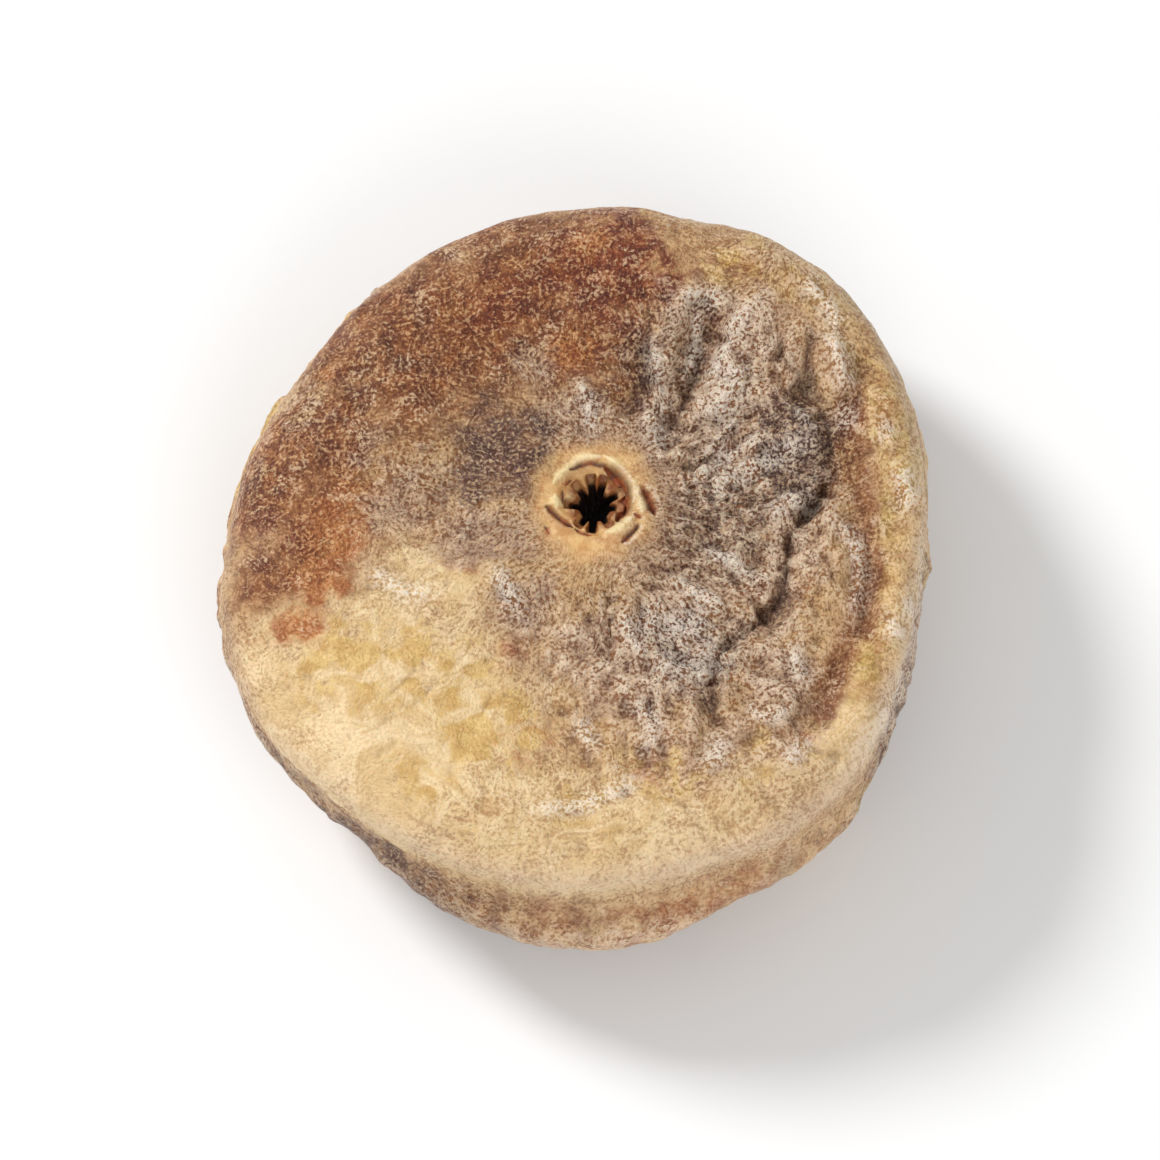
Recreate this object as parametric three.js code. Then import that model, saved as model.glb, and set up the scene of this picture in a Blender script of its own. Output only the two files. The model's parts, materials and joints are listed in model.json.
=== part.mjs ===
// A dried fig, pulled flat so that its eye is on the top face and its stem is on the underside.
// It lies on a flattened ring round the stem hollow. Millimetres, +Z up, origin under its middle.
import * as THREE from "three";

// Driving sizes
const FACE_RADIUS = 22.9;
const HEIGHT = 16.5;
const AROUND = 80;
const STEPS_BETWEEN = 2;

// The section from the floor of the eye, over the rim and round the wall, to the end of the stem.
// Each pair is a share of the face radius and a height.
const SECTION = [
  [0, 10.4],
  [0.044, 10.8],
  [0.07, 13.2],
  [0.105, 14.2],
  [0.18, 14.15],
  [0.28, 13.6],
  [0.46, 13.6],
  [0.65, 14.3],
  [0.8, 15.2],
  [0.915, 14.7],
  [0.99, 12.6],
  [1.01, 9.6],
  [0.99, 6.2],
  [0.93, 3.0],
  [0.835, 0.5],
  [0.725, -0.6],
  [0.61, 0.2],
  [0.48, 2.2],
  [0.33, 3.9],
  [0.19, 4.3],
  [0.11, 3.9],
  [0.1, 2.3],
  [0.07, 1.7],
  [0, 1.6],
];

// Where the eye sits on the top face, a little off the middle. The face shifts as one out to the
// first radius, and the shift has faded away by the second.
const EYE_AT = new THREE.Vector2(1.35, 2.85);
const EYE_SHIFT_FADES = [5, 18];

// Corners (+) and flats (-) of the outline: the angle in degrees, the reach and half the angle it covers
const OUTLINE = [
  { at: 50, reach: 2.6, spread: 34 },
  { at: 100, reach: 0.7, spread: 26 },
  { at: 160, reach: -0.45, spread: 26 },
  { at: 203, reach: 0.3, spread: 14 },
  { at: 234, reach: -0.6, spread: 16 },
  { at: 268, reach: 0.1, spread: 14 },
  { at: 316, reach: 1.1, spread: 20 },
  { at: 352, reach: -0.5, spread: 14 },
];
const OUTLINE_FROM = 6;

// The left shoulder is rounded off, and the wall bulges out below the face at the front
const SHOULDER = { at: 165, spread: 75, height: -2.1, from: 11, to: 22 };
const BULGE = { at: 272, spread: 28, reach: 2, low: 4, high: 8.5, soft: 4.5 };

// Raised edge on the right with a furrow inside it, both arcs about the middle of the face
const RIM_FOLD = { at: 5, spread: 48, radius: 21.3, width: 1.6, height: 0.7 };
const FURROW = { at: 3, spread: 44, radius: 18.5, width: 1.4, height: -0.9 };

// Curved crease between the eye and the furrow, the short one below it, and the valley above the eye
const CREASES = [
  { through: [[14.1, 12.0], [16.7, 6.1], [13.9, 0.2], [10.8, -6.0]], width: 1.3, height: -0.7 },
  { through: [[9.1, -8.3], [8.8, -12.4]], width: 1.3, height: -0.4 },
  { through: [[10.1, 16.7], [7.4, 10.6], [5.2, 6.9]], width: 1.3, height: -0.6 },
];
const CREASE_STEPS = 12;

// Folds on the face, which run out from the eye to the upper right corner
const FACE_FOLDS = { at: 52, spread: 28, count: 20, height: 0.35, from: 6, to: 19 };

// Folds down the wall and round the stem hollow: how many go round, and how far they swing
const WALL_FOLDS = { count: 19, wander: 1.7, reach: 0.2, from: 19, low: 1, high: 13 };
const STEM_FOLDS = { count: 15, height: 0.45, from: 3.4, to: 14 };

// Heights at which the underside ends and the top face begins
const UNDERSIDE_ENDS = 5;
const FACE_FROM = [8, 12];

// Colour of the whole skin under the sugar
const SKIN = { color: 0xb08a58, roughness: 0.62, metalness: 0 };

const DEGREE = Math.PI / 180;
const { smoothstep, euclideanModulo } = THREE.MathUtils;

// 1 at the middle, falling away over the spread
function swell(distance, spread) {
  return Math.exp(-((distance / spread) ** 2));
}

// 1 between low and high, falling to 0 within soft on either side
function band(value, low, high, soft) {
  return smoothstep(value, low - soft, low) * (1 - smoothstep(value, high, high + soft));
}

// 1 in a feature's own direction, falling away over its spread, in degrees
function facing(feature, angle) {
  const apart = Math.abs(euclideanModulo(angle - feature.at + 180, 360) - 180);
  return swell(apart, feature.spread);
}

function angleOf(x, y) {
  return Math.atan2(y, x) / DEGREE;
}

// How far the outline's corners and flats push a point out
function outlineReach(radius, angle) {
  const reach = OUTLINE.reduce((sum, corner) => sum + corner.reach * facing(corner, angle), 0);
  return reach * smoothstep(radius, OUTLINE_FROM, FACE_RADIUS);
}

// How far the bulge and the folds push the wall out
function wallReach(radius, angle, height) {
  const bulge = BULGE.reach * facing(BULGE, angle) * band(height, BULGE.low, BULGE.high, BULGE.soft);
  const turn = WALL_FOLDS.count * angle * DEGREE + WALL_FOLDS.wander * Math.sin(3 * angle * DEGREE);
  const folds = WALL_FOLDS.reach * Math.cos(turn) * band(height, WALL_FOLDS.low, WALL_FOLDS.high, 2);
  return (bulge + folds) * smoothstep(radius, WALL_FOLDS.from, WALL_FOLDS.from + 3);
}

function arcHeight(arc, radius, angle) {
  return arc.height * facing(arc, angle) * swell(radius - arc.radius, arc.width);
}

const creaseRoutes = CREASES.map(({ through }) => {
  const points = through.map(([x, y]) => new THREE.Vector3(x, y, 0));
  return new THREE.CatmullRomCurve3(points).getPoints(CREASE_STEPS);
});

function creaseHeight(x, y) {
  return CREASES.reduce((sum, crease, i) => {
    const distances = creaseRoutes[i].map((p) => Math.hypot(p.x - x, p.y - y));
    return sum + crease.height * swell(Math.min(...distances), crease.width);
  }, 0);
}

// How far the top face rises or sinks at a point
function faceHeight(x, y) {
  const radius = Math.hypot(x, y);
  const angle = angleOf(x, y);
  const aroundEye = angleOf(x - EYE_AT.x, y - EYE_AT.y) * DEGREE;
  const shoulder = SHOULDER.height * facing(SHOULDER, angle) * smoothstep(radius, SHOULDER.from, SHOULDER.to);
  const foldRing = band(radius, FACE_FOLDS.from + 4, FACE_FOLDS.to - 2, 4);
  const folds = FACE_FOLDS.height * Math.cos(FACE_FOLDS.count * aroundEye) * facing(FACE_FOLDS, angle);
  return shoulder + arcHeight(RIM_FOLD, radius, angle) + arcHeight(FURROW, radius, angle)
    + creaseHeight(x, y) + folds * foldRing;
}

function stemFoldHeight(radius, angle) {
  const ring = band(radius, STEM_FOLDS.from + 3, STEM_FOLDS.to - 4, 3);
  return STEM_FOLDS.height * Math.cos(STEM_FOLDS.count * angle * DEGREE) * ring;
}

// Moves one point of the plain turned section to its place on the fig
function grow(point) {
  const radius = Math.hypot(point.x, point.y);
  const angle = angleOf(point.x, point.y);
  const onFace = smoothstep(point.z, ...FACE_FROM);
  const out = outlineReach(radius, angle) + wallReach(radius, angle, point.z);
  const grown = radius > 0 ? (radius + out) / radius : 1;
  const toEye = onFace * (1 - smoothstep(radius, ...EYE_SHIFT_FADES));
  const x = point.x * grown + EYE_AT.x * toEye;
  const y = point.y * grown + EYE_AT.y * toEye;
  const stemFolds = point.z < UNDERSIDE_ENDS ? stemFoldHeight(radius, angle) : 0;
  const z = point.z + faceHeight(x, y) * onFace + stemFolds;
  return new THREE.Vector3(x, y, Math.max(z, 0));
}

function figGeometry() {
  const section = new THREE.SplineCurve(SECTION.map(([r, z]) => new THREE.Vector2(r * FACE_RADIUS, z)));
  const points = section.getPoints((SECTION.length - 1) * STEPS_BETWEEN);
  points[0].x = 0;
  points[points.length - 1].x = 0;
  const geometry = new THREE.LatheGeometry(points.reverse(), AROUND);
  geometry.rotateX(Math.PI / 2);
  const position = geometry.getAttribute("position");
  const point = new THREE.Vector3();
  for (let i = 0; i < position.count; i += 1) {
    point.fromBufferAttribute(position, i);
    position.setXYZ(i, ...grow(point).toArray());
  }
  geometry.computeBoundingBox();
  const { min, max } = geometry.boundingBox;
  geometry.translate(-(min.x + max.x) / 2, -(min.y + max.y) / 2, 0);
  geometry.scale(1, 1, HEIGHT / max.z);
  geometry.computeVertexNormals();
  return geometry;
}

const driedFig = new THREE.Mesh(figGeometry(), new THREE.MeshStandardMaterial(SKIN));
driedFig.name = "dried_fig";

const fig = new THREE.Group();
fig.add(driedFig);

export default fig;
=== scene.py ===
# %% [markdown]
# # A dried fig, pulled flat
# The whole fruit is one piece: skin, flesh, eye scales and stem end dried together.
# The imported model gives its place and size. This lesson grows a fine skin in that place,
# in the order in which the real fruit got it: round body, folds, wrinkles, sugar, colour.

# %% Load the frame
import json
import math
import bmesh
import bpy
import numpy as np
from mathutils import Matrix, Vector, noise


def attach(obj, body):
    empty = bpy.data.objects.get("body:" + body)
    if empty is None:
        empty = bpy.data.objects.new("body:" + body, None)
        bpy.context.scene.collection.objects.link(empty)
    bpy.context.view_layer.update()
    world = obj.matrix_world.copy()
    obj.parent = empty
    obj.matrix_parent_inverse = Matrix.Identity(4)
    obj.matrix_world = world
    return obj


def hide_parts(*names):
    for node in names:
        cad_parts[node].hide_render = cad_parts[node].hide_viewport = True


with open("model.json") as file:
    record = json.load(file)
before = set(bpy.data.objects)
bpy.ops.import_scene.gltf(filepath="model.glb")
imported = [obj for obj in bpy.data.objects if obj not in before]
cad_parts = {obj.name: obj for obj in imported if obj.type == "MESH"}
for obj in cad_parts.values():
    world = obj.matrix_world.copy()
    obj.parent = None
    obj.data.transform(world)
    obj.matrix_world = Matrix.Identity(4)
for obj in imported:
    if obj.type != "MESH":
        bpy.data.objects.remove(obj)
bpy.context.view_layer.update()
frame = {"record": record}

# %% [markdown]
# ## Camera
# The eye looks up, so the camera stands over the fig and a little in front of it, which shows
# the face nearly flat on and a strip of the wall below it. A long lens keeps the disc round.

# %% Set the camera
MM = 0.001
VIEW_ELEVATION = math.radians(72)
VIEW_DISTANCE = 0.42
LENS = 200
SENSOR = 36
LOOK_AT = Vector((0.0003, 0.0, 0.0085))


def make_camera():
    data = bpy.data.cameras.new("camera")
    data.lens = LENS
    data.sensor_width = SENSOR
    camera = bpy.data.objects.new("camera", data)
    back = Vector((0, -math.cos(VIEW_ELEVATION), math.sin(VIEW_ELEVATION)))
    camera.location = LOOK_AT + back * VIEW_DISTANCE
    camera.rotation_euler = (-back).to_track_quat("-Z", "Y").to_euler()
    bpy.context.collection.objects.link(camera)
    bpy.context.scene.camera = camera
    return camera


camera = make_camera()
print("camera at", tuple(round(c, 3) for c in camera.location))

# %% [markdown]
# ## The round body
# A fig is round before it is pulled flat, so its section is spun round the eye like a pot on
# a wheel. The section runs from the floor of the eye, over the rim and down the wall, to the
# cut stem underneath. Its points lie closest where the finest detail comes, because three
# rounds of subdivision split every gap between them into eight.

# %% Spin the section
SECTION = [
    (0.0, 10.6), (0.6, 10.7), (0.88, 12.1), (0.98, 13.4), (1.5, 13.7), (2.1, 13.95), (2.6, 14.3),
    (3.5, 14.3), (4.6, 14.0), (6.3, 13.7), (8.3, 13.6), (10.4, 13.65), (12.5, 13.9), (14.6, 14.25),
    (16.7, 14.7), (18.7, 15.0), (20.5, 14.75), (22.0, 13.7), (22.95, 11.9), (23.25, 9.6),
    (23.05, 7.2), (22.3, 4.9), (21.0, 2.8), (19.2, 1.0), (17.0, -0.5), (14.6, -0.2), (11.8, 1.5),
    (8.8, 3.2), (5.8, 4.1), (3.5, 4.1), (2.55, 3.2), (2.4, 2.0), (0.0, 1.6),
]
SPIN_STEPS = 48
ROUNDS = 3


def spin_section():
    bm = bmesh.new()
    station = bm.verts.layers.float.new("station")
    chain = []
    for i, (radius, height) in enumerate(SECTION):
        vert = bm.verts.new((radius * MM, 0, height * MM))
        vert[station] = i
        chain.append(vert)
    edges = [bm.edges.new(pair) for pair in zip(chain, chain[1:])]
    bmesh.ops.spin(bm, geom=chain + edges, cent=(0, 0, 0), axis=(0, 0, 1), dvec=(0, 0, 0),
                   angle=math.tau, steps=SPIN_STEPS, use_merge=True, use_duplicate=False)
    bmesh.ops.remove_doubles(bm, verts=bm.verts, dist=1e-6)
    bmesh.ops.recalc_face_normals(bm, faces=bm.faces)
    mesh = bpy.data.meshes.new("fig")
    bm.to_mesh(mesh)
    bm.free()
    return mesh


fig = bpy.data.objects.new("fig", spin_section())
bpy.context.collection.objects.link(fig)
print("spun", len(fig.data.vertices), "points")


# %% Subdivide it
def subdivide(obj, rounds):
    smooth = obj.modifiers.new("smooth", "SUBSURF")
    smooth.levels = smooth.render_levels = rounds
    depsgraph = bpy.context.evaluated_depsgraph_get()
    fine = bpy.data.meshes.new_from_object(obj.evaluated_get(depsgraph))
    obj.modifiers.clear()
    obj.data = fine
    obj.data.shade_smooth()


subdivide(fig, ROUNDS)
count = len(fig.data.vertices)
print("subdivided to", count, "points and", len(fig.data.polygons), "faces")

# %% [markdown]
# ## Brushes
# The folds are sculpted by moving points, as a sculptor would with a few brushes. Each brush
# answers one question for all the points at once: how strongly does it touch them, from 0 to 1.
# Working with whole columns of numbers keeps a hundred thousand points quick.


# %% Make the brushes
FACE_STARTS = (8, 12)
LAYERS = (0.9, 2.1)


def ramp(x, low, high):
    t = np.clip((x - low) / (high - low), 0, 1)
    return t * t * (3 - 2 * t)


def swell(distance, spread):
    return np.exp(-((distance / spread) ** 2))


def pinch(distance, spread):
    return np.exp(-np.abs(distance) / spread)


def band(x, low, high, soft):
    return ramp(x, low - soft, low) * (1 - ramp(x, high, high + soft))


def facing(angle, at, spread):
    return swell(np.abs((angle - at + 180) % 360 - 180), spread)


def angle_of(x, y):
    return np.degrees(np.arctan2(y, x))


def read_vectors(mesh, what):
    flat = np.empty(len(mesh.vertices) * 3)
    mesh.vertices.foreach_get(what, flat)
    return flat.reshape(-1, 3)


def write_points(mesh, points):
    mesh.vertices.foreach_set("co", (points * MM).ravel())
    mesh.update()


def wobble(points, size, seed=0.0):
    """Smooth noise between about -1 and 1, with lumps of that size in millimetres."""
    places = (points / size + seed).tolist()
    return np.array([noise.noise(place) for place in places])


def layered(points, size, octaves, seed=0.0):
    """The same with finer and finer lumps laid over it."""
    places = (points / size + seed).tolist()
    return np.array([noise.fractal(place, *LAYERS, octaves) for place in places])


def trail(route, steps=10):
    """Points along a smooth curve through the route."""
    route = [Vector((x, y, 0)) for x, y in route]
    ends = [route[0] * 2 - route[1]] + route + [route[-1] * 2 - route[-2]]
    points = []
    for a, b, c, d in zip(ends, ends[1:], ends[2:], ends[3:]):
        for i in range(steps):
            t = i / steps
            points.append(0.5 * ((2 * b) + (c - a) * t + (2 * a - 5 * b + 4 * c - d) * t * t
                                 + (3 * b - a - 3 * c + d) * t ** 3))
    points.append(route[-1])
    return np.array([(p.x, p.y) for p in points])


def off_trail(x, y, route):
    """Distance of every point from the route, and how far along it the nearest place is."""
    points = trail(route)
    best = np.full(len(x), 1e9)
    along = np.zeros(len(x))
    for i, (a, b) in enumerate(zip(points, points[1:])):
        leg = b - a
        t = np.clip(((x - a[0]) * leg[0] + (y - a[1]) * leg[1]) / (leg @ leg), 0, 1)
        gap = np.hypot(x - a[0] - t * leg[0], y - a[1] - t * leg[1])
        nearer = gap < best
        best = np.where(nearer, gap, best)
        along = np.where(nearer, (i + t) / (len(points) - 1), along)
    return best, along


def taper(along, start, end):
    """Fades a route in up to its start and out from its end, both as shares of its length."""
    return ramp(along, 0, start) * (1 - ramp(along, end, 1))


def read_value(mesh, name):
    values = np.empty(len(mesh.vertices))
    mesh.attributes[name].data.foreach_get("value", values)
    return values


turned = read_vectors(fig.data, "co") / MM
station = read_value(fig.data, "station")
spun_radius = np.hypot(turned[:, 0], turned[:, 1])
spun_angle = angle_of(turned[:, 0], turned[:, 1])
spun_height = turned[:, 2]
on_face = ramp(spun_height, *FACE_STARTS)
print("brushes ready, spun radius up to", round(spun_radius.max(), 2), "mm")

# %% [markdown]
# ## The outline and the lean of the face
# A thumb and a drying tray leave corners and flats on the outline. The left shoulder is
# rounded off, and the wall bulges out below the face at the front. The eye sits a
# little off the middle, so the rings near it are carried over to it as one.

# %% Push the outline about
FACE_RADIUS = 22.9
OUTLINE = [
    # direction in degrees, reach, half the angle it covers
    (50, 2.6, 34), (100, 0.7, 26), (160, -0.45, 26), (203, 0.3, 14),
    (234, -0.6, 16), (268, 0.1, 14), (316, 1.1, 20), (352, -0.5, 14),
]
OUTLINE_FROM = 6
EYE_AT = np.array((1.35, 2.85))
EYE_SHIFT = (5, 18)
BULGE = {"at": 272, "spread": 28}
BULGE_REACH = 2.0
BULGE_HEIGHTS = (4, 8.5, 4.5)
BULGE_FROM = (17, 21)


def push_outline(points):
    out = sum(reach * facing(spun_angle, at, spread) for at, reach, spread in OUTLINE)
    out = out * ramp(spun_radius, OUTLINE_FROM, FACE_RADIUS)
    below_face = band(spun_height, *BULGE_HEIGHTS) * ramp(spun_radius, *BULGE_FROM)
    out += BULGE_REACH * facing(spun_angle, **BULGE) * below_face
    grown = 1 + out / np.maximum(spun_radius, 0.01)
    to_eye = on_face * (1 - ramp(spun_radius, *EYE_SHIFT))
    moved = points.copy()
    moved[:, 0] = points[:, 0] * grown + EYE_AT[0] * to_eye
    moved[:, 1] = points[:, 1] * grown + EYE_AT[1] * to_eye
    return moved


points = push_outline(turned)
x, y = points[:, 0].copy(), points[:, 1].copy()
face_radius = np.hypot(x, y)
face_angle = angle_of(x, y)
eye_angle = angle_of(x - EYE_AT[0], y - EYE_AT[1])
print("outline spans", round(np.ptp(x), 1), "by", round(np.ptp(y), 1), "mm")

# %% [markdown]
# ## Folds of the face
# On the right the edge has folded up into a rim with a furrow inside it. A crease curves
# between the eye and that furrow and is later painted dark as shade, and smaller folds fan out
# from the eye to the upper right.
# A crease is narrow at its floor, so it takes the pinching brush. A fold is round, so it takes
# the swelling one, and so do the broad valleys and the thin crusts on the backs, which are later
# painted pale, partly as sugar and partly as painted highlight.

# %% Fold the face
SHOULDER = {"at": 165, "spread": 75}
SHOULDER_DROP = 2.0
SHOULDER_FROM = (11, 22)
CREASES = [
    # route, depth, width
    ([(16.6, 4.8), (14.9, 2.2), (13.9, 0.2), (13.6, -2.4), (12.5, -4.4), (10.2, -6.4)], 1.0, 0.6),
    ([(13.0, 13.7), (14.1, 12.0), (15.4, 10.3), (16.4, 7.8), (16.7, 5.4)], 0.6, 0.7),
    ([(10.8, -6.0), (9.3, -7.3), (9.0, -8.9), (9.0, -10.8), (8.8, -12.6)], 0.6, 0.55),
    ([(8.6, 14.0), (7.4, 10.6), (6.5, 8.6), (5.2, 6.9)], 0.6, 0.55),
    ([(5.0, 17.0), (4.8, 13.8), (4.2, 10.6), (3.4, 8.0)], 0.35, 0.7),
    ([(15.5, 14.6), (15.1, 12.3), (15.7, 10.4)], 0.55, 0.45),
    ([(7.2, 5.6), (9.2, 6.2), (12.2, 7.4)], 0.4, 0.45),
    ([(6.6, 3.6), (9.0, 3.4), (11.6, 2.6)], 0.3, 0.5),
    ([(2.2, -4.6), (2.35, -6.1), (2.0, -7.8)], 0.5, 0.4),
    ([(4.6, -13.0), (3.4, -16.4), (-1.4, -18.6)], 0.35, 0.9),
    ([(6.0, -6.6), (7.2, -7.6), (8.8, -8.0)], 0.35, 0.5),
    ([(17.0, -14.4), (15.4, -14.0), (14.4, -13.2)], 0.5, 0.5),
]
FOLDS = [
    # route, height, width
    ([(6.6, 17.0), (6.4, 14.2), (5.8, 10.4)], 0.45, 0.8),
    ([(12.4, 16.6), (10.4, 13.8), (9.2, 11.0), (7.6, 8.4)], 0.5, 1.2),
    ([(16.9, 14.2), (17.4, 12.0), (17.1, 9.8)], 0.5, 1.1),
    ([(13.4, 10.2), (14.6, 8.0), (14.8, 5.6)], 0.35, 1.3),
    ([(15.4, -0.4), (15.1, -3.4), (13.8, -6.2), (11.8, -8.4)], 0.4, 1.0),
    ([(11.6, -9.8), (13.2, -10.4), (13.2, -12.0)], 0.4, 0.9),
    ([(6.9, -8.6), (7.2, -11.4), (7.0, -13.6)], 0.3, 1.0),
]
VALLEYS = [
    # route, depth, width
    ([(10.1, 16.7), (8.3, 13.6), (7.0, 10.2), (6.0, 8.0)], 0.75, 1.2),
    ([(15.2, 11.6), (16.4, 8.6), (16.8, 6.0), (15.8, 3.2)], 0.6, 1.5),
    ([(4.6, 14.4), (4.2, 11.4), (3.6, 9.0)], 0.35, 0.9),
    ([(7.0, -8.2), (8.4, -9.6), (8.9, -12.0)], 0.3, 0.9),
]
FURROW = [(16.0, 16.2), (18.4, 12.4), (18.3, 9.2), (18.1, 5.4), (18.6, 1.5), (18.9, -2.5),
          (18.2, -5.8), (16.6, -8.7), (15.6, -11.4), (14.2, -13.8)]
FURROW_SIZE = (0.7, 1.3)
FURROW_FLOOR = (0.22, 0.5)
RIM = [(8.0, 21.4), (13.4, 19.3), (17.6, 15.6), (20.2, 11.2), (21.4, 6.4), (21.8, 1.4),
       (21.4, -3.8), (20.1, -8.6), (18.0, -12.4), (15.2, -15.8)]
RIM_SIZE = (0.65, 1.5)
SWELLS = [
    # middle, spread, height
    ((10.0, 2.5), 6.5, -0.5),
    ((-9.0, -9.0), 8.0, 0.3),
]
FOLDS_FROM = (3.2, 5)
# Thin raised crusts, painted pale later: partly sugar, partly painted highlight.
CRUSTS = [
    # route, height, width
    ([(7.2, 4.2), (9.2, 5.8), (11.0, 7.0), (12.4, 7.4)], 0.35, 0.3),
    ([(8.0, 5.8), (9.6, 7.6), (10.8, 8.8)], 0.3, 0.3),
    ([(5.0, 14.0), (5.4, 11.4), (6.0, 8.8)], 0.35, 0.35),
    ([(8.2, 16.2), (7.9, 13.6), (7.2, 11.4)], 0.25, 0.25),
    ([(11.4, 16.0), (9.9, 13.4), (8.4, 10.6)], 0.3, 0.4),
    ([(6.6, 16.6), (8.2, 16.9), (10.0, 16.4)], 0.3, 0.4),
    ([(16.4, 14.6), (17.2, 12.6), (17.8, 10.2)], 0.3, 0.5),
    ([(15.3, 18.4), (15.6, 16.6)], 0.25, 0.35),
    ([(17.0, 1.4), (18.0, -0.2), (18.4, -2.6), (17.8, -5.4)], 0.35, 0.35),
    ([(14.4, 9.2), (15.6, 7.6)], 0.2, 0.3),
    ([(8.2, 0.2), (10.4, -1.2), (12.4, -2.4)], 0.3, 0.3),
    ([(6.0, -2.0), (8.0, -3.2), (9.8, -4.6)], 0.3, 0.3),
    ([(3.0, -4.6), (3.6, -6.0), (4.8, -7.6)], 0.25, 0.3),
    ([(-5.0, -1.6), (-4.2, -3.0), (-3.6, -4.6)], 0.3, 0.35),
    ([(20.9, 5.0), (21.4, 3.4), (21.2, 1.8)], 0.25, 0.5),
    ([(21.7, -3.4), (21.4, -5.4)], 0.2, 0.45),
    ([(20.2, -5.2), (20.6, -6.6)], 0.2, 0.4),
    ([(17.2, 9.4), (17.9, 8.0)], 0.25, 0.45),
    ([(19.8, 8.0), (20.6, 6.8)], 0.2, 0.4),
    ([(22.9, 2.4), (22.8, -2.4), (22.1, -6.6), (20.6, -10.4), (18.4, -13.6)], 0.35, 0.5),
    ([(14.6, 17.8), (16.2, 16.4), (17.4, 14.4)], 0.25, 0.4),
    ([(3.8, -10.2), (5.0, -12.0), (4.8, -13.8)], 0.2, 0.4),
    ([(9.6, -13.0), (8.4, -15.2)], 0.2, 0.45),
    ([(0.2, -11.6), (1.2, -13.6)], 0.2, 0.35),
    ([(11.0, -11.0), (12.4, -11.9), (13.8, -11.2)], 0.3, 0.25),
    ([(14.8, -13.0), (13.6, -15.0)], 0.25, 0.4),
    ([(-2.4, -18.0), (1.0, -17.4), (4.2, -15.6)], 0.2, 0.35),
    ([(14.0, -7.4), (14.6, -9.4)], 0.3, 0.3),
    ([(8.4, 3.6), (12.0, 5.6), (15.4, 7.0)], 0.3, 0.5),
    ([(12.2, 2.4), (14.0, 2.9), (15.8, 2.6)], 0.25, 0.45),
    ([(3.6, -4.6), (6.0, -5.4), (9.4, -4.8)], 0.1, 1.0),
    ([(4.6, -7.6), (7.6, -8.0), (10.2, -7.0)], 0.1, 0.9),
    ([(10.6, 12.6), (10.0, 10.4), (8.6, 8.2)], 0.15, 0.8),
    ([(4.6, 9.8), (5.4, 8.0), (5.2, 6.6)], 0.15, 0.5),
    ([(-13.2, -1.6), (-11.0, -3.0), (-9.0, -3.2)], 0.2, 0.4),
    ([(1.2, 7.6), (1.0, 9.6), (0.2, 11.6)], 0.2, 0.35),
]


def rub(route, height, width, brush):
    """One stroke along a route, a quarter as strong at its two ends."""
    gap, along = off_trail(x, y, route)
    return height * brush(gap, width) * (0.25 + 0.75 * taper(along, 0.12, 0.86))


def fold_face(points):
    lift = -SHOULDER_DROP * facing(face_angle, **SHOULDER) * ramp(face_radius, *SHOULDER_FROM)
    for route, depth, width in CREASES:
        lift -= rub(route, depth, width, pinch)
    for route, depth, width in VALLEYS:
        lift -= rub(route, depth, width, swell)
    for route, height, width in FOLDS + CRUSTS:
        lift += rub(route, height, width, swell)
    lift -= rub(FURROW, *FURROW_SIZE, swell) + rub(FURROW, *FURROW_FLOOR, pinch)
    lift += rub(RIM, *RIM_SIZE, swell)
    for (mid_x, mid_y), spread, height in SWELLS:
        lift += height * swell(np.hypot(x - mid_x, y - mid_y), spread)
    moved = points.copy()
    moved[:, 2] += lift * on_face * ramp(spun_radius, *FOLDS_FROM)
    return moved


points = fold_face(points)
lowest, highest = points[on_face > 0.99, 2].min(), points[:, 2].max()
print("face lies between", round(lowest, 1), "and", round(highest, 1), "mm")

# %% [markdown]
# ## The eye
# The eye is the mouth of the fruit, closed by small scales. Their dried tips point inwards and
# leave a star between them, and the floor of that hole is painted nearly black as shade. The
# rings of the spin already go round the eye, so every slit of the star is a direction in which
# the hole is stretched. The gaps between the outer scales are short strokes, and the same strokes
# are painted red brown later.

# %% Open the eye
SLITS = [
    # direction in degrees, reach
    (133, 1.5), (180, 1.6), (98, 1.65), (71, 1.6), (28, 1.6),
    (-5, 1.35), (-56, 1.3), (-96, 1.7), (-126, 1.45), (156, 1.1),
]
SLIT_SPREAD = 13.0
SLIT_FADES = (1.15, 2.1)
SLIT_HEIGHTS = (11.2, 13.2)
SLIT_SINK = 0.22
LIP_DIP = {"at": 10, "spread": 45}
LIP_SINK = 0.22
HOLE = 0.98
EYE_REACH = 5
GAPS = [
    # route about the eye, depth, width
    ([(-1.55, 2.08), (-0.95, 2.36), (-0.34, 2.54), (0.43, 2.45), (0.95, 2.27)], 0.16, 0.13),
    ([(0.75, 2.3), (1.3, 1.85), (1.82, 1.1), (1.92, 0.27), (1.86, -0.45), (1.45, -1.05)], 0.6, 0.34),
    ([(-3.1, -0.36), (-2.59, -0.86), (-2.07, -1.27), (-1.4, -1.7)], 0.4, 0.16),
    ([(-1.2, -1.86), (-0.78, -2.08), (-0.26, -2.22)], 0.22, 0.12),
    ([(3.1, 0.85), (3.5, 0.09), (3.8, -0.7)], 0.55, 0.26),
    ([(2.84, -1.54), (2.41, -2.08), (1.77, -2.81)], 0.25, 0.13),
    ([(2.55, -0.85), (3.0, -1.2)], 0.2, 0.1),
    ([(-2.07, 0.73), (-2.1, 0.0)], 0.1, 0.1),
    ([(-1.95, 1.2), (-1.55, 1.5)], 0.12, 0.1),
    ([(-3.2, -1.7), (-2.9, -2.3)], 0.1, 0.12),
]
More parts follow.
